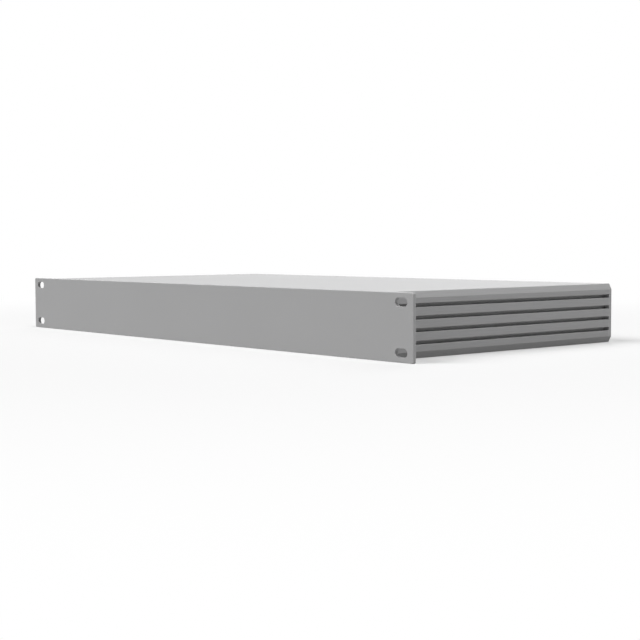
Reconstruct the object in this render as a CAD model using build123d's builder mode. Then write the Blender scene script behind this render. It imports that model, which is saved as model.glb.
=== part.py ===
from build123d import *
import os

# A rackmount chassis one rack unit high: an aluminium front panel with rack ears, two extruded side
# profiles with steep chamfers and four outer grooves, two flush covers and a rear plate.
# X runs across the front from left to right, Y from the front to the back and Z up. The origin lies
# under the middle of the chassis, level with the foot of the front panel. Sizes are in millimetres.

# Whole chassis
panel_width = 482.6
panel_height = 44.0
overall_depth = 230.0
ear_width = 23.3
body_relief = 0.2

# Front panel and its four rack slots
panel_thickness = 2.5
panel_corner_radius = 1.2
edge_break = 0.3
slot_length = 10.8
slot_width = 5.6
slot_end_distance = 10.6
slot_edge_distance = 6.125
slot_edge_break = 0.2

# Rear plate
rear_thickness = 3.0

# Side profile, outside
chamfer_width = 2.25
chamfer_height = 4.35
groove_count = 4
groove_pitch = 8.1
groove_height = 2.5
groove_depth = 4.5
groove_rise = 0.4
groove_edge_radius = 0.3
body_corner_radius = 0.8

# Side profile, inside
wall_thickness = 2.0
flange_width = 14.0
lip_thickness = 1.5
ledge_thickness = 1.5
port_wall = 1.35
port_mouth = 1.6
nut_slot_mouth = 4.8
nut_slot_wall = 1.5
board_slot_width = 2.0
board_rib_thickness = 1.2
board_rib_reach = 4.0

# Covers
cover_thickness = 1.5
cover_clearance = 0.1
cover_side_clearance = 0.4
cover_seam = 0.3
bend_radius = 0.5

# Front brackets
bracket_thickness = 2.0
bracket_side_leg = 22.0
bracket_panel_leg = 30.0
bracket_clearance = 0.8
bracket_inner_radius = 1.0
side_screw_distance = 12.0
stud_distance = 10.0
stud_spacing = 12.0

# Fasteners, all with the same thread
thread_diameter = 4.0
thread_clearance = 0.05
hole_clearance = 0.25
stud_spare_length = 2.0
nut_width = 7.0
nut_thickness = 3.2
nut_clearance = 0.3
screw_head_height = 2.8
bracket_screw_length = 6.0
sunk_head_diameter = 8.0
sunk_head_clearance = 0.1
rear_screw_length = 12.0
socket_width = 2.5
socket_depth = 1.3

# Planes that the pieces meet on
front_face_y = -overall_depth / 2
panel_back_y = front_face_y + panel_thickness
rear_face_y = overall_depth / 2
plate_front_y = rear_face_y - rear_thickness
profile_length = plate_front_y - panel_back_y
mid_z = panel_height / 2
body_half_height = mid_z - body_relief
body_top_z = mid_z + body_half_height
body_bottom_z = mid_z - body_half_height
side_x = panel_width / 2 - ear_width

# Insides of the side profile, as X places on the right-hand one
web_x = side_x - groove_depth - wall_thickness
lip_x = side_x - flange_width
cover_slot_height = cover_thickness + 2 * cover_clearance
flange_thickness = lip_thickness + cover_slot_height + ledge_thickness
bay_half_height = body_half_height - flange_thickness
port_radius = thread_diameter / 2 + thread_clearance
port_outer_radius = port_radius + port_wall
port_x = web_x - port_outer_radius
port_rise = bay_half_height - port_outer_radius
nut_slot_depth = nut_thickness + nut_clearance
nut_slot_height = nut_width + nut_clearance
nut_lip_x = web_x - nut_slot_depth
nut_face_x = nut_lip_x - nut_slot_wall
nut_slot_half = nut_slot_height / 2 + nut_slot_wall

# The two sides and the two levels that the fastener loops go through
sides = {"left": -1, "right": 1}
levels = {"upper": 1, "lower": -1}

os.makedirs("parts", exist_ok=True)


def body_outline():
    """Closed outline of the body seen from the front: a flat box with four steep chamfers."""
    chamfer_x = side_x - chamfer_width
    chamfer_rise = body_half_height - chamfer_height
    with BuildLine() as outline:
        Polyline(
            (-chamfer_x, body_top_z),
            (chamfer_x, body_top_z),
            (side_x, mid_z + chamfer_rise),
            (side_x, mid_z - chamfer_rise),
            (chamfer_x, body_bottom_z),
            (-chamfer_x, body_bottom_z),
            (-side_x, mid_z - chamfer_rise),
            (-side_x, mid_z + chamfer_rise),
            close=True,
        )
    return outline.line


# Front panel
# One plate, wider than the body on both sides, with two rack slots in each ear.
slot_x = panel_width - 2 * slot_end_distance
slot_z = panel_height - 2 * slot_edge_distance

with BuildPart() as front_panel:
    with BuildSketch(Plane.XZ.offset(-panel_back_y)):
        with Locations((0, mid_z)):
            RectangleRounded(panel_width, panel_height, panel_corner_radius)
            with GridLocations(slot_x, slot_z, 2, 2):
                SlotOverall(slot_length, slot_width, mode=Mode.SUBTRACT)
    extrude(amount=panel_thickness)
    front_face = front_panel.faces().sort_by(Axis.Y)[0]
    chamfer(front_face.outer_wire().edges(), edge_break)
    front_face = front_panel.faces().sort_by(Axis.Y)[0]
    slot_edges = [edge for wire in front_face.inner_wires() for edge in wire.edges()]
    chamfer(slot_edges, slot_edge_break)
front_panel.part.label = "front_panel"
export_step(front_panel.part, "parts/front_panel.step")

# Rear plate
# It has the body's own outline, so it closes the ends of the grooves and of the cover slots.
# Four countersunk holes take the screws that run into the ports of the side profiles.
port_places = [(sz * port_rise + mid_z, sx * port_x) for sx in sides.values() for sz in levels.values()]

with BuildPart() as rear_plate:
    with BuildSketch(Plane.XZ.offset(-rear_face_y)) as plate_sketch:
        make_face(body_outline())
        fillet(plate_sketch.vertices(), body_corner_radius)
    extrude(amount=rear_thickness)
    chamfer(rear_plate.faces().sort_by(Axis.Y)[-1].edges(), edge_break)
    with Locations(Plane.ZX.offset(rear_face_y)):
        with Locations(*port_places):
            CounterSinkHole(
                radius=thread_diameter / 2 + hole_clearance,
                counter_sink_radius=sunk_head_diameter / 2 + sunk_head_clearance,
                counter_sink_angle=90,
            )
rear_plate.part.label = "rear_plate"
export_step(rear_plate.part, "parts/rear_plate.step")

# Right side profile
# An extrusion with chamfers and grooves outside. Inside, each flange has a slot for the cover's
# edge under a bevelled lip, the corners hold the screw ports, and a slot for square nuts runs
# along the middle between two ribs that guide a circuit board.
groove_places = [
    (side_x, mid_z + groove_rise + groove_pitch * (number - (groove_count - 1) / 2))
    for number in range(groove_count)
]
bay_width = web_x - lip_x

with BuildPart() as right_side_profile:
    with BuildSketch(Plane.XZ.offset(-plate_front_y)) as section:
        make_face(body_outline())
        fillet(section.vertices(), body_corner_radius)
        with Locations((lip_x, mid_z)):
            Rectangle(
                lip_x + side_x, 2 * body_half_height, align=(Align.MAX, Align.CENTER), mode=Mode.SUBTRACT
            )
            Rectangle(bay_width, 2 * bay_half_height, align=(Align.MIN, Align.CENTER), mode=Mode.SUBTRACT)
        with Locations(*groove_places):
            Rectangle(groove_depth, groove_height, align=(Align.MAX, Align.CENTER), mode=Mode.SUBTRACT)
        # Round the mouths of the grooves: all corners on the outer face but its own two ends
        groove_mouths = section.vertices().group_by(Axis.X)[-1].sort_by(Axis.Y)[1:-1]
        fillet(groove_mouths, groove_edge_radius)

        # Screw ports in the corners, joined to the web and the flange by their square backs
        for sign in levels.values():
            port_z = mid_z + sign * port_rise
            with Locations((port_x, port_z)):
                Circle(port_outer_radius)
                Rectangle(port_outer_radius, 2 * port_outer_radius, align=(Align.MIN, Align.CENTER))
            with Locations((port_x, mid_z + sign * (port_rise + port_outer_radius / 2))):
                Rectangle(2 * port_outer_radius, port_outer_radius)
            with Locations((port_x, port_z)):
                Circle(port_radius, mode=Mode.SUBTRACT)
                Rectangle(flange_width, port_mouth, align=(Align.MAX, Align.CENTER), mode=Mode.SUBTRACT)

        # Slot for square nuts, and the board ribs on both sides of it
        with Locations((web_x, mid_z)):
            Rectangle(web_x - nut_face_x, 2 * nut_slot_half, align=(Align.MAX, Align.CENTER))
            Rectangle(nut_slot_depth, nut_slot_height, align=(Align.MAX, Align.CENTER), mode=Mode.SUBTRACT)
            Rectangle(web_x - nut_face_x, nut_slot_mouth, align=(Align.MAX, Align.CENTER), mode=Mode.SUBTRACT)
        rib_rise = nut_slot_half + board_slot_width + board_rib_thickness / 2
        with Locations((web_x, mid_z + rib_rise), (web_x, mid_z - rib_rise)):
            Rectangle(board_rib_reach, board_rib_thickness, align=(Align.MAX, Align.CENTER))

        # Cover slots, and the bevel that lets the cover's step pass under each lip
        for sign in levels.values():
            lip_under_z = mid_z + sign * (body_half_height - lip_thickness)
            slot_mid_z = lip_under_z - sign * cover_slot_height / 2
            with Locations((lip_x, slot_mid_z)):
                Rectangle(bay_width, cover_slot_height, align=(Align.MIN, Align.CENTER), mode=Mode.SUBTRACT)
            with BuildLine():
                Polyline(
                    (lip_x, lip_under_z + sign * lip_thickness),
                    (lip_x + lip_thickness, lip_under_z),
                    (lip_x, lip_under_z),
                    close=True,
                )
            make_face(mode=Mode.SUBTRACT)
    extrude(amount=profile_length)
right_side_profile.part.label = "right_side_profile"
export_step(right_side_profile.part, "parts/right_side_profile.step")

# Left side profile
# The same extrusion turned round, so it is the mirror image of the right-hand one.
with BuildPart() as left_side_profile:
    mirror(right_side_profile.part, about=Plane.YZ)
left_side_profile.part.label = "left_side_profile"
export_step(left_side_profile.part, "parts/left_side_profile.step")

# Top cover
# One sheet, flush with the lips. Both its long edges step down by a lip at 45 degrees and slide in
# the slots. Where a sheet turns by 45 degrees, its inner corner lies corner_shift before the outer.
step_drop = lip_thickness + cover_clearance
corner_shift = cover_thickness * (2**0.5 - 1)
cover_under_z = body_top_z - cover_thickness
cover_edge_x = web_x - cover_side_clearance
outer_bend_radius = bend_radius + cover_thickness
step_top = (lip_x - cover_seam, body_top_z)
step_foot = (step_top[0] + step_drop, body_top_z - step_drop)
step_top_under = (step_top[0] - corner_shift, cover_under_z)
step_foot_under = (step_foot[0] - corner_shift, cover_under_z - step_drop)
bends = {step_top: outer_bend_radius, step_foot: bend_radius}
bends.update({step_top_under: bend_radius, step_foot_under: outer_bend_radius})

with BuildPart() as top_cover:
    with BuildSketch(Plane.XZ.offset(-plate_front_y)) as cover_sketch:
        with BuildLine():
            Polyline(
                (0, body_top_z),
                step_top,
                step_foot,
                (cover_edge_x, step_foot[1]),
                (cover_edge_x, step_foot_under[1]),
                step_foot_under,
                step_top_under,
                (0, cover_under_z),
                close=True,
            )
        make_face()
        for corner, radius in bends.items():
            fillet(cover_sketch.vertices().sort_by_distance(corner)[0], radius)
        mirror(about=Plane.YZ)
    extrude(amount=profile_length)
top_cover.part.label = "top_cover"
export_step(top_cover.part, "parts/top_cover.step")

# Bottom cover
# The same sheet as the top cover, turned over.
with BuildPart() as bottom_cover:
    mirror(top_cover.part, about=Plane.XY.offset(mid_z))
bottom_cover.part.label = "bottom_cover"
export_step(bottom_cover.part, "parts/bottom_cover.step")

# Front brackets
# Angles that hold the front panel to the nut slots of the side profiles, so that no fastener shows
# on the panel. Each has two holes for studs in its panel leg and one for a screw in its side leg.
# It fits between the screw ports of its profile, which keep it from turning on that screw.
bracket_half_height = port_rise - port_outer_radius - bracket_clearance
side_screw_y = panel_back_y + side_screw_distance
stud_x = [nut_face_x - stud_distance, nut_face_x - stud_distance - stud_spacing]
clearance_radius = thread_diameter / 2 + hole_clearance
leg_inner_x = nut_face_x - bracket_thickness
leg_inner_y = panel_back_y + bracket_thickness

with BuildPart() as right_front_bracket:
    with BuildSketch(Plane.XY.offset(mid_z - bracket_half_height)) as angle_sketch:
        with BuildLine():
            Polyline(
                (nut_face_x, panel_back_y),
                (nut_face_x, panel_back_y + bracket_side_leg),
                (leg_inner_x, panel_back_y + bracket_side_leg),
                (leg_inner_x, leg_inner_y),
                (nut_face_x - bracket_panel_leg, leg_inner_y),
                (nut_face_x - bracket_panel_leg, panel_back_y),
                close=True,
            )
        make_face()
        inner_corner = angle_sketch.vertices().sort_by_distance((leg_inner_x, leg_inner_y))[0]
        fillet(inner_corner, bracket_inner_radius)
    extrude(amount=2 * bracket_half_height)
    with BuildSketch(Plane.YZ.offset(leg_inner_x)):
        with Locations((side_screw_y, mid_z)):
            Circle(clearance_radius)
    extrude(amount=bracket_thickness, mode=Mode.SUBTRACT)
    with BuildSketch(Plane.XZ.offset(-leg_inner_y)):
        with Locations(*[(x, mid_z) for x in stud_x]):
            Circle(clearance_radius)
    extrude(amount=bracket_thickness, mode=Mode.SUBTRACT)
right_front_bracket.part.label = "right_front_bracket"
export_step(right_front_bracket.part, "parts/right_front_bracket.step")

with BuildPart() as left_front_bracket:
    mirror(right_front_bracket.part, about=Plane.YZ)
left_front_bracket.part.label = "left_front_bracket"
export_step(left_front_bracket.part, "parts/left_front_bracket.step")

# Fasteners
# Each is built on its seat, a plane centred on its axis whose normal points away from the work.
# The heads of the screws and the nuts are hexagons of one width, apart from the countersunk screws
# and the square nuts, which the walls of the nut slots keep from turning.
def shank(seat, length):
    """Round stud that stands on its seat."""
    with BuildPart() as stud:
        with BuildSketch(seat):
            Circle(thread_diameter / 2)
        extrude(amount=length)
    return stud


def nut(seat, side_count):
    """Nut with as many sides as it is given, with one of them along the x axis of its seat."""
    with BuildPart() as body:
        with BuildSketch(seat):
            RegularPolygon(nut_width / 2, side_count, major_radius=False, rotation=180 / side_count)
            Circle(thread_diameter / 2 + thread_clearance, mode=Mode.SUBTRACT)
        extrude(amount=nut_thickness)
    return body


def hexagon_screw(seat, length):
    """Screw with a hexagon head above its seat and its shank below."""
    with BuildPart() as screw:
        with BuildSketch(seat):
            RegularPolygon(nut_width / 2, 6, major_radius=False)
        extrude(amount=screw_head_height)
        with BuildSketch(seat):
            Circle(thread_diameter / 2)
        extrude(amount=-length)
    return screw


def sunk_screw(seat, length):
    """Countersunk screw, flush with its seat, with a hexagon socket."""
    cone_depth = (sunk_head_diameter - thread_diameter) / 2
    turning_plane = Plane(seat.origin, x_dir=seat.x_dir, z_dir=-seat.y_dir)
    with BuildPart() as screw:
        with BuildSketch(turning_plane):
            with BuildLine():
                Polyline(
                    (0, 0),
                    (sunk_head_diameter / 2, 0),
                    (thread_diameter / 2, -cone_depth),
                    (thread_diameter / 2, -length),
                    (0, -length),
                    close=True,
                )
            make_face()
        revolve(axis=Axis(seat.origin, seat.z_dir))
        with BuildSketch(seat):
            RegularPolygon(socket_width / 2, 6, major_radius=False)
        extrude(amount=-socket_depth, mode=Mode.SUBTRACT)
    return screw


def save(piece, name):
    """Labels a finished piece and writes it to its own file."""
    piece.part.label = name
    export_step(piece.part, f"parts/{name}.step")


# Front fasteners
# Studs welded to the back of the front panel pass through the brackets' panel legs and take nuts.
# A screw through each side leg pulls a square nut against the lips of the nut slot.
stud_length = bracket_thickness + nut_thickness + stud_spare_length
for side, side_sign in sides.items():
    for place, x in zip(["outer", "inner"], stud_x):
        panel_seat = Plane((side_sign * x, panel_back_y, mid_z), x_dir=(1, 0, 0), z_dir=(0, 1, 0))
        save(shank(panel_seat, stud_length), f"panel_stud_{place}_{side}")
        save(nut(panel_seat.offset(bracket_thickness), 6), f"panel_nut_{place}_{side}")
    inward = (-side_sign, 0, 0)
    leg_place = (side_sign * leg_inner_x, side_screw_y, mid_z)
    nut_place = (side_sign * (nut_lip_x + nut_thickness), side_screw_y, mid_z)
    head_seat = Plane(leg_place, x_dir=(0, 1, 0), z_dir=inward)
    nut_seat = Plane(nut_place, x_dir=(0, 1, 0), z_dir=inward)
    save(hexagon_screw(head_seat, bracket_screw_length), f"bracket_screw_{side}")
    save(nut(nut_seat, 4), f"slot_nut_{side}")

# Rear screws
# Four countersunk screws hold the rear plate to the screw ports.
for side, side_sign in sides.items():
    for level, level_sign in levels.items():
        corner = (side_sign * port_x, rear_face_y, mid_z + level_sign * port_rise)
        rear_seat = Plane(corner, x_dir=(1, 0, 0), z_dir=(0, 1, 0))
        save(sunk_screw(rear_seat, rear_screw_length), f"rear_screw_{level}_{side}")
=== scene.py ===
import math

import bmesh
import bpy
from mathutils import Matrix, Vector


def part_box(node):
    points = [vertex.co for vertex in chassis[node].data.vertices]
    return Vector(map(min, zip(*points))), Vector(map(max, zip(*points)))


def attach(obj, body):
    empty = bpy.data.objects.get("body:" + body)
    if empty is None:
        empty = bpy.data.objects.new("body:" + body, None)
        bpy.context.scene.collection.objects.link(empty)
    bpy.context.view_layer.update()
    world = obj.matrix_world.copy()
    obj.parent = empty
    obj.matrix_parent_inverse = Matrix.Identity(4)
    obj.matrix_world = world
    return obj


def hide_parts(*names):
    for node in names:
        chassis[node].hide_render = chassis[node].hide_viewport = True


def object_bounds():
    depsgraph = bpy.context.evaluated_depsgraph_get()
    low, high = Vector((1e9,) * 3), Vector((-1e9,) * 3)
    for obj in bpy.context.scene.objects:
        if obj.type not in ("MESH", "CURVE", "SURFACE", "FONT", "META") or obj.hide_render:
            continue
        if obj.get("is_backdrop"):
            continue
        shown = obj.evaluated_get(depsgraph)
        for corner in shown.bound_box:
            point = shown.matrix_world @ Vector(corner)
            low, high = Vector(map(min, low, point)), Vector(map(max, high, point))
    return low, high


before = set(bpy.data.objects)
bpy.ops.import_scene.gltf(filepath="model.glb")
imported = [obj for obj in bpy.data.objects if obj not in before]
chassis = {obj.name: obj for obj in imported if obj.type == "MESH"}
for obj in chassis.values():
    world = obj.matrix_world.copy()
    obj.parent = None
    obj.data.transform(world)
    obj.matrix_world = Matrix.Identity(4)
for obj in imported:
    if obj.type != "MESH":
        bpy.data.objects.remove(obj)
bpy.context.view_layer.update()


# Side profiles
# Two extruded aluminium profiles, blasted and anodised light grey. Faint die lines run along them
# from front to back. The edges that stand furthest out are painted lighter: partly the coat
# rubbed thin, partly a painted highlight.
def group_of(name, inputs, outputs):
    """Empty shader node group, with the sockets that it is given and those that it has to fill."""
    group = bpy.data.node_groups.new(name, "ShaderNodeTree")
    for socket_name, kind, *value in inputs:
        socket = group.interface.new_socket(socket_name, in_out="INPUT", socket_type=kind)
        if value:
            socket.default_value = value[0]
    for socket_name, kind in outputs:
        group.interface.new_socket(socket_name, in_out="OUTPUT", socket_type=kind)
    given = group.nodes.new("NodeGroupInput").outputs
    filled = group.nodes.new("NodeGroupOutput").inputs
    return group, given, filled


def feed(tree, sockets, terms):
    """Links or writes each term into the socket at its own place."""
    for socket, term in zip(sockets, terms):
        if isinstance(term, bpy.types.NodeSocket):
            tree.links.new(term, socket)
        else:
            socket.default_value = term


def placed(tree, group, terms):
    """Outputs of a group in a tree, with terms fed to its sockets by their names."""
    node = tree.nodes.new("ShaderNodeGroup")
    node.node_tree = group
    feed(tree, [node.inputs[name] for name in terms], terms.values())
    return node.outputs


def number(tree, operation, *terms, limited=False):
    """Output of a Math node. limited keeps it between 0 and 1."""
    node = tree.nodes.new("ShaderNodeMath")
    node.operation = operation
    node.use_clamp = limited
    feed(tree, node.inputs, terms)
    return node.outputs["Value"]


def vector(tree, operation, *terms):
    """Output of a Vector Math node."""
    node = tree.nodes.new("ShaderNodeVectorMath")
    node.operation = operation
    feed(tree, node.inputs, terms)
    return node.outputs["Vector"]


def mixed_colour(tree, factor, first, second):
    """Output of a Mix node that goes from one colour to another."""
    node = tree.nodes.new("ShaderNodeMix")
    node.data_type = "RGBA"
    colours = [socket for socket in node.inputs if socket.type == "RGBA"]
    feed(tree, [node.inputs["Factor"], *colours], [factor, first, second])
    return next(socket for socket in node.outputs if socket.type == "RGBA")


def noise(tree, position, scale, detail):
    """Noise between 0 and 1, with cells of one metre divided by scale."""
    node = tree.nodes.new("ShaderNodeTexNoise")
    sockets = [node.inputs["Vector"], node.inputs["Scale"], node.inputs["Detail"]]
    feed(tree, sockets, [position, scale, detail])
    return node.outputs["Fac"]


mean_noise = 0.5
coat_detail = 3
patch_detail = 4

# Grain: the fine pits that blasting leaves, and slow changes of tone over the coat
grain_group, given, filled = group_of(
    "blasted_grain",
    [
        ("Position", "NodeSocketVector"),
        ("Grain Scale", "NodeSocketFloat"),
        ("Tone Scale", "NodeSocketFloat"),
    ],
    [("Grain", "NodeSocketFloat"), ("Tone", "NodeSocketFloat")],
)
fine = noise(grain_group, given["Position"], given["Grain Scale"], coat_detail)
slow = noise(grain_group, given["Position"], given["Tone Scale"], coat_detail)
feed(grain_group, [filled["Grain"], filled["Tone"]], [fine, slow])

# Edge wear and painted highlight: how near a point is to an edge of a piece's box, which is the
# second smallest of its distances from the box's three pairs of faces. Where it is high, the coat
# is painted lighter, partly as wear and partly as a painted highlight.
wear_and_highlight_group, given, filled = group_of(
    "edge_wear_and_highlight",
    [
        ("Position", "NodeSocketVector"),
        ("Centre", "NodeSocketVector"),
        ("Half Size", "NodeSocketVector"),
        ("Width", "NodeSocketFloat", 0.001),
        ("Patch Scale", "NodeSocketFloat", 90),
    ],
    [("Wear", "NodeSocketFloat")],
)
offset = vector(wear_and_highlight_group, "SUBTRACT", given["Position"], given["Centre"])
from_centre = vector(wear_and_highlight_group, "ABSOLUTE", offset)
from_faces = wear_and_highlight_group.nodes.new("ShaderNodeSeparateXYZ")
inward_offset = vector(wear_and_highlight_group, "SUBTRACT", given["Half Size"], from_centre)
wear_and_highlight_group.links.new(inward_offset, from_faces.inputs["Vector"])
from_x, from_y, from_z = from_faces.outputs
nearer = number(wear_and_highlight_group, "MINIMUM", from_x, from_y)
farther = number(wear_and_highlight_group, "MAXIMUM", from_x, from_y)
third = number(wear_and_highlight_group, "MINIMUM", farther, from_z)
edge_distance = number(wear_and_highlight_group, "MAXIMUM", nearer, third)
patches = noise(wear_and_highlight_group, given["Position"], given["Patch Scale"], patch_detail)
reach = number(wear_and_highlight_group, "MULTIPLY", given["Width"], patches)
faded = number(wear_and_highlight_group, "DIVIDE", edge_distance, reach)
feed(wear_and_highlight_group, [filled["Wear"]], [number(wear_and_highlight_group, "SUBTRACT", 1, faded, limited=True)])

# Coat colour: the colour as it varies with grain and tone, and painted lighter on the edges,
# partly as rubbed-off coat and partly as a painted highlight
coat_group, given, filled = group_of(
    "coat_colour",
    [
        ("Colour", "NodeSocketColor"),
        ("Worn Colour", "NodeSocketColor"),
        ("Grain", "NodeSocketFloat"),
        ("Tone", "NodeSocketFloat"),
        ("Wear", "NodeSocketFloat"),
        ("Grain Contrast", "NodeSocketFloat", 0.22),
        ("Tone Contrast", "NodeSocketFloat", 0.08),
    ],
    [("Colour", "NodeSocketColor")],
)
grain_part = number(coat_group, "MULTIPLY_ADD", given["Grain"], given["Grain Contrast"], 1)
tone_part = number(coat_group, "MULTIPLY_ADD", given["Tone"], given["Tone Contrast"], grain_part)
both_contrasts = number(coat_group, "ADD", given["Grain Contrast"], given["Tone Contrast"])
lightness = number(coat_group, "MULTIPLY_ADD", both_contrasts, -mean_noise, tone_part)
varied = coat_group.nodes.new("ShaderNodeVectorMath")
varied.operation = "SCALE"
feed(coat_group, [varied.inputs["Vector"], varied.inputs["Scale"]], [given["Colour"], lightness])
# The edges are painted lighter here: partly worn coat, partly a painted highlight.
rubbed_and_highlighted = mixed_colour(coat_group, given["Wear"], varied.outputs["Vector"], given["Worn Colour"])
feed(coat_group, [filled["Colour"]], [rubbed_and_highlighted])

grain_roughness = 0.16
tone_roughness = 0.1
wear_roughness = -0.1


def metal_finish(name, node, look, stretch=(1, 1, 1), tone_scale=14):
    """Material for a metal piece. stretch draws its grain and tone out along the small axes."""
    material = bpy.data.materials.new(name)
    material.use_nodes = True
    tree = material.node_tree
    shader = tree.nodes["Principled BSDF"]
    shader.inputs["Metallic"].default_value = look["metallic"]
    position = tree.nodes.new("ShaderNodeTexCoord").outputs["Object"]

    drawn_out = tree.nodes.new("ShaderNodeMapping")
    feed(tree, [drawn_out.inputs["Vector"], drawn_out.inputs["Scale"]], [position, stretch])
    grain_terms = {
        "Position": drawn_out.outputs["Vector"],
        "Grain Scale": look["grain_scale"],
        "Tone Scale": tone_scale,
    }
    grain, tone = placed(tree, grain_group, grain_terms)

    low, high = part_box(node)
    wear_and_highlight_terms = {
        "Position": position,
        "Centre": (low + high) / 2,
        "Half Size": (high - low) / 2,
    }
    # Mask of the edges that are painted lighter, partly as wear and partly as a painted highlight.
    wear_and_highlight_mask = placed(tree, wear_and_highlight_group, wear_and_highlight_terms)["Wear"]

    coat_terms = {
        "Colour": (*look["colour"], 1),
        "Worn Colour": (*look["worn_and_highlight_colour"], 1),
        "Grain": grain,
        "Tone": tone,
        "Wear": wear_and_highlight_mask,
    }
    coat = placed(tree, coat_group, coat_terms)["Colour"]
    tree.links.new(coat, shader.inputs["Base Color"])

    smooth = look["roughness"] - mean_noise * (grain_roughness + tone_roughness)
    pitted = number(tree, "MULTIPLY_ADD", grain, grain_roughness, smooth)
    uneven = number(tree, "MULTIPLY_ADD", tone, tone_roughness, pitted)
    worn = number(tree, "MULTIPLY_ADD", wear_and_highlight_mask, wear_roughness, uneven)
    tree.links.new(worn, shader.inputs["Roughness"])

    bump = tree.nodes.new("ShaderNodeBump")
    bump.inputs["Distance"].default_value = look["grain_height"]
    tree.links.new(grain, bump.inputs["Height"])
    tree.links.new(bump.outputs["Normal"], shader.inputs["Normal"])
    return material


anodised = {
    "colour": (0.46, 0.46, 0.463),
    # Lighter colour painted on the edges: partly worn coat, partly a painted highlight.
    "worn_and_highlight_colour": (0.58, 0.58, 0.583),
    "metallic": 0,
    "roughness": 0.52,
    "grain_scale": 1800,
    "grain_height": 0.00002,
}
profile_stretch = (1, 0.03, 1)
die_line_scale = 220

for side in ("left", "right"):
    profile = f"{side}_side_profile"
    profile_finish = metal_finish(
        f"anodised_extrusion_{side}", profile, anodised, profile_stretch, die_line_scale
    )
    chassis[profile].material_slots[0].material = profile_finish


# Covers
# Two aluminium sheets with stepped edges, which slide in slots of the side profiles. They are
# blasted and anodised like the profiles, with a grain that rolling draws out a little.
sheet_stretch = (0.5, 1, 1)

for cover in ("top_cover", "bottom_cover"):
    cover_finish = metal_finish(f"anodised_sheet_{cover}", cover, anodised, sheet_stretch)
    chassis[cover].material_slots[0].material = cover_finish


# Front brackets
# Angles cut from a bare aluminium extrusion, with its die lines running up them and no coat. A
# zinc plated hexagon screw clamps each to a square nut, which sits in the side profile's slot.
bare_aluminium = {
    "colour": (0.62, 0.62, 0.63),
    "worn_and_highlight_colour": (0.75, 0.75, 0.76),
    "metallic": 1,
    "roughness": 0.38,
    "grain_scale": 3000,
    "grain_height": 0.000006,
}
bracket_stretch = (1, 1, 0.05)

for side in ("left", "right"):
    bracket = f"{side}_front_bracket"
    bracket_finish = metal_finish(
        f"bare_extrusion_{side}", bracket, bare_aluminium, bracket_stretch
    )
    chassis[bracket].material_slots[0].material = bracket_finish

zinc_plate = {
    "colour": (0.58, 0.59, 0.60),
    "worn_and_highlight_colour": (0.74, 0.75, 0.76),
    "metallic": 1,
    "roughness": 0.34,
    "grain_scale": 4000,
    "grain_height": 0.000004,
}
thread_radius = 0.002
thread_pitch = 0.0007
thread_depth = 0.0003
valley_place = 0.25
crest_place = 0.75
tip_bevel = 0.0005
tip_narrowing = 0.0001
rim_edges = 24
square = 4
hexagon = 6
smooth_angle = math.radians(32)


def rim_of(bm, sides, radius, height):
    """Closed rim of rim_edges edges round z: a polygon whose first corner is on the y axis."""
    before = set(bm.edges)
    corners = bmesh.ops.create_circle(bm, segments=sides, radius=radius)["verts"]
    bmesh.ops.translate(bm, vec=(0, 0, height), verts=corners)
    if sides < rim_edges:
        polygon = [edge for edge in bm.edges if edge not in before]
        bmesh.ops.subdivide_edges(bm, edges=polygon, cuts=rim_edges // sides - 1)
    return [edge for edge in bm.edges if edge not in before]


def grown_rim(bm, rim):
    """Extrudes a rim in its own place, and gives the new rim and its points."""
    grown = bmesh.ops.extrude_edge_only(bm, edges=rim)["geom"]
    points = {part for part in grown if isinstance(part, bmesh.types.BMVert)}
    edges = [part for part in grown if isinstance(part, bmesh.types.BMEdge)]
    return [edge for edge in edges if points.issuperset(edge.verts)], points


def turn(bm, rim, radius, height, stations):
    """Carries a rim on through (radius, height) stations round z, and gives the last rim."""
    for next_radius, next_height in stations:
        rim, points = grown_rim(bm, rim)
        ratio = next_radius / radius
        bmesh.ops.scale(bm, vec=(ratio, ratio, 1), verts=list(points))
        bmesh.ops.translate(bm, vec=(0, 0, next_height - height), verts=list(points))
        radius, height = next_radius, next_height
    return rim


def round_off(bm, rim, radius):
    """Carries a rim on, in its own plane, to a circle, and gives the circle."""
    circle, points = grown_rim(bm, rim)
    for point in points:
        point.co.xy = point.co.xy.normalized() * radius
    return circle


def ridges(start, end, valley, crest):
    """Stations of a thread's ridges from one height to another, each a valley and a crest."""
    count = round(abs(end - start) / thread_pitch)
    step = (end - start) / count
    stations = []
    for ridge in range(count):
        stations.append((valley, start + step * (ridge + valley_place)))
        stations.append((crest, start + step * (ridge + crest_place)))
    return stations


def threaded_end(bm, rim, start, end):
    """Turns a thread from a rim at start to a bevelled, closed tip at end."""
    bevel_start = end - math.copysign(tip_bevel, end - start)
    core = thread_radius - thread_depth
    shank = ridges(start, bevel_start, core, thread_radius)
    bevel = [(core, bevel_start), (core - tip_narrowing, end)]
    tip = turn(bm, rim, thread_radius, start, shank + bevel)
    bmesh.ops.edgeloop_fill(bm, edges=tip)


def put_in_order(parts, place):
    """Numbers a mesh's points or faces by place, so that each run lists them alike."""
    rank = {part: index for index, part in enumerate(sorted(parts, key=place))}
    parts.sort(key=rank.get)
    parts.index_update()


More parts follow.
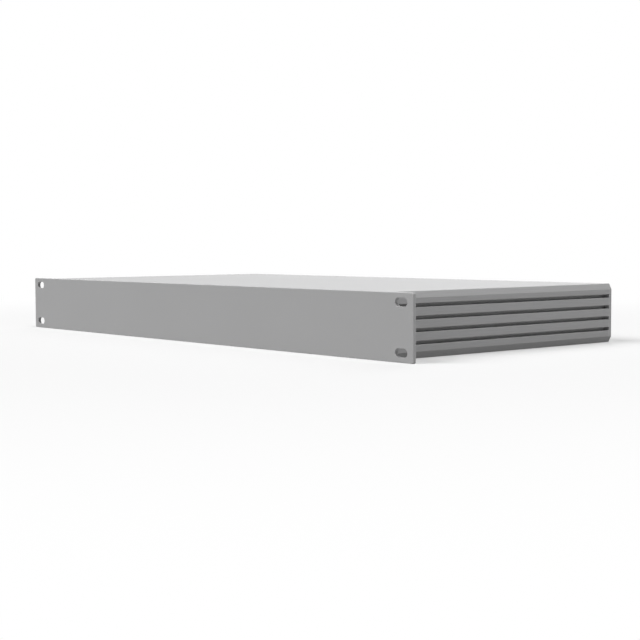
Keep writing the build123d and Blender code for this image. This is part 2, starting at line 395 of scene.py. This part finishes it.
def seat_piece(bm, node, finish, foot, axis, corner):
    """Lays z along axis and y along corner, and makes the piece that stands for a CAD node."""
    turned = Matrix((Vector(corner).cross(axis), corner, axis)).transposed()
    placing = Matrix.Translation(foot) @ turned.to_4x4()
    bmesh.ops.transform(bm, matrix=placing, verts=bm.verts)
    bmesh.ops.recalc_face_normals(bm, faces=bm.faces)
    put_in_order(bm.verts, lambda point: tuple(point.co))
    put_in_order(bm.faces, lambda face: sorted(point.index for point in face.verts))
    mesh = bpy.data.meshes.new(f"threaded_{node}")
    bm.to_mesh(mesh)
    bm.free()
    mesh.materials.append(finish)
    mesh.shade_smooth()
    mesh.set_sharp_from_angle(angle=smooth_angle)
    piece = bpy.data.objects.new(f"threaded_{node}", mesh)
    bpy.context.scene.collection.objects.link(piece)
    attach(piece, "root")
    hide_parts(node)


def seat_zinc(bm, node, foot, axis, corner):
    """Seats a small steel piece with zinc plate of its own."""
    finish = metal_finish(f"zinc_plate_{node}", node, zinc_plate)
    seat_piece(bm, node, finish, foot, axis, corner)


crown_share = 0.88
head_bevel = 0.0004


def hexagon_screw(corner_radius, head_height, length):
    """Screw with a bevelled hexagon head above z = 0 and a threaded shank below."""
    bm = bmesh.new()
    crown_radius = corner_radius * crown_share
    crown = rim_of(bm, hexagon, crown_radius, head_height)
    bmesh.ops.edgeloop_fill(bm, edges=crown)
    flanks = [(corner_radius, head_height - head_bevel), (corner_radius, 0)]
    under = turn(bm, crown, crown_radius, head_height, flanks)
    neck = round_off(bm, under, thread_radius)
    threaded_end(bm, neck, 0, -length)
    return bm


nut_bore_radius = 0.00205
nut_bevel_height = 0.0003
nut_bevel_width = 0.0005


def threaded_nut(sides, corner_radius, thickness):
    """Nut on z = 0 with bevelled corners and a threaded bore."""
    bm = bmesh.new()
    face_radius = corner_radius - nut_bevel_width
    outer_foot = rim_of(bm, sides, face_radius, 0)
    flanks = [
        (corner_radius, nut_bevel_height),
        (corner_radius, thickness - nut_bevel_height),
        (face_radius, thickness),
    ]
    outer_top = turn(bm, outer_foot, face_radius, 0, flanks)
    mouth_radius = nut_bore_radius + thread_depth
    inner_top = round_off(bm, outer_top, mouth_radius)
    bore = ridges(thickness, 0, nut_bore_radius, mouth_radius) + [(mouth_radius, 0)]
    inner_foot = turn(bm, inner_top, mouth_radius, thickness, bore)
    bmesh.ops.bridge_loops(bm, edges=outer_foot + inner_foot)
    return bm


bracket_screw_head = 0.0028
diagonal = (0, math.sqrt(0.5), math.sqrt(0.5))

for side, inward in (("left", 1), ("right", -1)):
    screw = f"bracket_screw_{side}"
    low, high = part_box(screw)
    middle = (low + high) / 2
    seat_x = (high if inward > 0 else low).x - inward * bracket_screw_head
    shank_length = high.x - low.x - bracket_screw_head
    bm = hexagon_screw((high.y - low.y) / 2, bracket_screw_head, shank_length)
    seat_zinc(bm, screw, (seat_x, middle.y, middle.z), (inward, 0, 0), (0, 1, 0))

    square_nut = f"slot_nut_{side}"
    low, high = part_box(square_nut)
    middle = (low + high) / 2
    foot_x = (low if inward > 0 else high).x
    bm = threaded_nut(square, (high.y - low.y) / math.sqrt(2), high.x - low.x)
    seat_zinc(bm, square_nut, (foot_x, middle.y, middle.z), (inward, 0, 0), diagonal)


# Front panel
# One aluminium plate with rack slots, blasted and anodised, with its edges broken. Zinc plated
# studs are welded to its back and take hexagon nuts, so nothing shows on its face.
plate_stretch = (0.8, 1, 1)

panel_finish = metal_finish("anodised_front_panel", "front_panel", anodised, plate_stretch)
chassis["front_panel"].material_slots[0].material = panel_finish

for side in ("left", "right"):
    for place in ("outer", "inner"):
        stud = f"panel_stud_{place}_{side}"
        low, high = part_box(stud)
        middle = (low + high) / 2
        bm = bmesh.new()
        stud_foot = rim_of(bm, rim_edges, thread_radius, 0)
        bmesh.ops.edgeloop_fill(bm, edges=stud_foot)
        threaded_end(bm, stud_foot, 0, high.y - low.y)
        seat_zinc(bm, stud, (middle.x, low.y, middle.z), (0, 1, 0), (0, 0, 1))

        panel_nut = f"panel_nut_{place}_{side}"
        low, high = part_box(panel_nut)
        bm = threaded_nut(hexagon, (high.z - low.z) / 2, high.y - low.y)
        seat_zinc(bm, panel_nut, (middle.x, low.y, middle.z), (0, 1, 0), (0, 0, 1))


# Rear plate
# One aluminium plate with the body's outline and four countersunk holes, blasted and anodised.
# Plain steel screws with hexagon sockets hold it to the side profiles, flush with its face.
rear_finish = metal_finish("anodised_rear_plate", "rear_plate", anodised, plate_stretch)
chassis["rear_plate"].material_slots[0].material = rear_finish

plain_steel = {
    "colour": (0.42, 0.42, 0.42),
    "worn_and_highlight_colour": (0.55, 0.55, 0.55),
    "metallic": 1,
    "roughness": 0.36,
    "grain_scale": 4000,
    "grain_height": 0.000004,
}
sunk_head_radius = 0.004
socket_corner_radius = 0.00144
socket_depth = 0.0013
head_edge_depth = 0.0001
socket_bevel_width = 0.00012
rim_inset = 0.0001
crown_inset = 0.00022


def countersunk_screw(length):
    """Countersunk screw below z = 0 with a hexagon socket, a thin rim to its head and a thread."""
    bm = bmesh.new()
    socket_floor = rim_of(bm, hexagon, socket_corner_radius, -socket_depth)
    bmesh.ops.edgeloop_fill(bm, edges=socket_floor)
    socket_wall = [
        (socket_corner_radius, -head_edge_depth),
        (socket_corner_radius + socket_bevel_width, 0),
    ]
    mouth = turn(bm, socket_floor, socket_corner_radius, -socket_depth, socket_wall)
    crown_radius = sunk_head_radius - crown_inset
    crown = round_off(bm, mouth, crown_radius)
    cone_depth = sunk_head_radius - thread_radius
    cone = [(sunk_head_radius - rim_inset, -head_edge_depth), (thread_radius, -cone_depth)]
    neck = turn(bm, crown, crown_radius, 0, cone)
    threaded_end(bm, neck, -cone_depth, -length)
    return bm


for side in ("left", "right"):
    for level in ("upper", "lower"):
        screw = f"rear_screw_{level}_{side}"
        low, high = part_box(screw)
        middle = (low + high) / 2
        screw_finish = metal_finish(f"plain_steel_{screw}", screw, plain_steel)
        seat = (middle.x, high.y, middle.z)
        bm = countersunk_screw(high.y - low.y)
        seat_piece(bm, screw, screw_finish, seat, (0, 1, 0), (1, 0, 0))


# Floor
# A plain pale sheet under the chassis. To the camera and in reflections it keeps the soft shadow
# round the chassis and goes over to plain white away from it. It throws back light as a grey does.
floor_half_width = 12
floor_squares = 8
floor_white = (0.90, 0.90, 0.90, 1)
floor_grey = (0.42, 0.42, 0.42, 1)
floor_glow = 0.22
shadow_reach = 0.30
white_reach = 0.80


def seen_ray(tree):
    """1 for rays from the camera, off gloss or through glass, and 0 for the rest."""
    light_path = tree.nodes.new("ShaderNodeLightPath").outputs
    seen = number(tree, "MAXIMUM", light_path["Is Camera Ray"], light_path["Is Glossy Ray"])
    return number(tree, "MAXIMUM", seen, light_path["Is Transmission Ray"])


floor_finish = bpy.data.materials.new("pale_floor")
floor_finish.use_nodes = True
tree = floor_finish.node_tree
tree.nodes.remove(tree.nodes["Principled BSDF"])
white = tree.nodes.new("ShaderNodeBsdfDiffuse")
white.inputs["Color"].default_value = floor_white
glow = tree.nodes.new("ShaderNodeEmission")
distance = tree.nodes.new("ShaderNodeVectorMath")
distance.operation = "LENGTH"
floor_position = tree.nodes.new("ShaderNodeTexCoord").outputs["Object"]
tree.links.new(floor_position, distance.inputs["Vector"])
fade = tree.nodes.new("ShaderNodeMapRange")
fade.interpolation_type = "SMOOTHSTEP"
feed(tree, fade.inputs, [distance.outputs["Value"], shadow_reach, white_reach, floor_glow, 1])
seen_floor = tree.nodes.new("ShaderNodeMixShader")
seen_terms = [fade.outputs["Result"], white.outputs["BSDF"], glow.outputs["Emission"]]
feed(tree, seen_floor.inputs, seen_terms)
grey = tree.nodes.new("ShaderNodeBsdfDiffuse")
grey.inputs["Color"].default_value = floor_grey
whole_floor = tree.nodes.new("ShaderNodeMixShader")
whole_terms = [seen_ray(tree), grey.outputs["BSDF"], seen_floor.outputs["Shader"]]
feed(tree, whole_floor.inputs, whole_terms)
tree.links.new(whole_floor.outputs["Shader"], tree.nodes["Material Output"].inputs["Surface"])

bm = bmesh.new()
bmesh.ops.create_grid(
    bm, x_segments=floor_squares, y_segments=floor_squares, size=floor_half_width
)
floor_mesh = bpy.data.meshes.new("floor")
bm.to_mesh(floor_mesh)
bm.free()
floor_mesh.materials.append(floor_finish)
floor_object = bpy.data.objects.new("floor", floor_mesh)
bpy.context.scene.collection.objects.link(floor_object)
floor_object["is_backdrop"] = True


# Studio light
# Three soft lamps high round the chassis, at its front left, at its right and at its back left,
# and an even dim light from all round. The world is white to the camera and in reflections.
lamps = {
    "front_lamp": ((-0.25, -0.66, 0.70), 2.03, 40),
    "side_lamp": ((0.46, 0.0, 0.88), 1.56, 20),
    "back_lamp": ((-0.40, 0.64, 0.65), 0.62, 40),
}
dim_light = (0.01, 0.01, 0.01, 1)
white_light = (1, 1, 1, 1)

for name, (direction, strength, spread) in lamps.items():
    lamp = bpy.data.lights.new(name, "SUN")
    lamp.energy = strength
    lamp.angle = math.radians(spread)
    lamp_object = bpy.data.objects.new(name, lamp)
    lamp_object.rotation_mode = "QUATERNION"
    lamp_object.rotation_quaternion = Vector(direction).to_track_quat("Z", "Y")
    bpy.context.scene.collection.objects.link(lamp_object)

world = bpy.data.worlds.new("studio")
world.use_nodes = True
bpy.context.scene.world = world
tree = world.node_tree
light_colour = mixed_colour(tree, seen_ray(tree), dim_light, white_light)
tree.links.new(light_colour, tree.nodes["Background"].inputs["Color"])


# Camera
# It stands low at the right of the front, about a metre away. Its place, turn and lens are those
# that put the straight edges of the chassis where they belong in the picture.
camera_place = Vector((0.80785, -0.67342, 0.07559))
camera_yaw = math.radians(49.54)
camera_pitch = math.radians(3.47)
camera_roll = math.radians(-0.21)
film_width = 36
lens_length = 72.65

camera_data = bpy.data.cameras.new("studio_camera")
camera_data.sensor_width = film_width
camera_data.lens = lens_length
camera = bpy.data.objects.new("studio_camera", camera_data)
bpy.context.scene.collection.objects.link(camera)
upright_aim = Matrix.Rotation(math.pi / 2 - camera_pitch, 4, "X")
aim = Matrix.Rotation(camera_yaw, 4, "Z") @ upright_aim @ Matrix.Rotation(camera_roll, 4, "Z")
camera.matrix_world = Matrix.Translation(camera_place) @ aim
bpy.context.scene.camera = camera
bpy.context.scene.view_settings.view_transform = "Standard"


low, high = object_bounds()
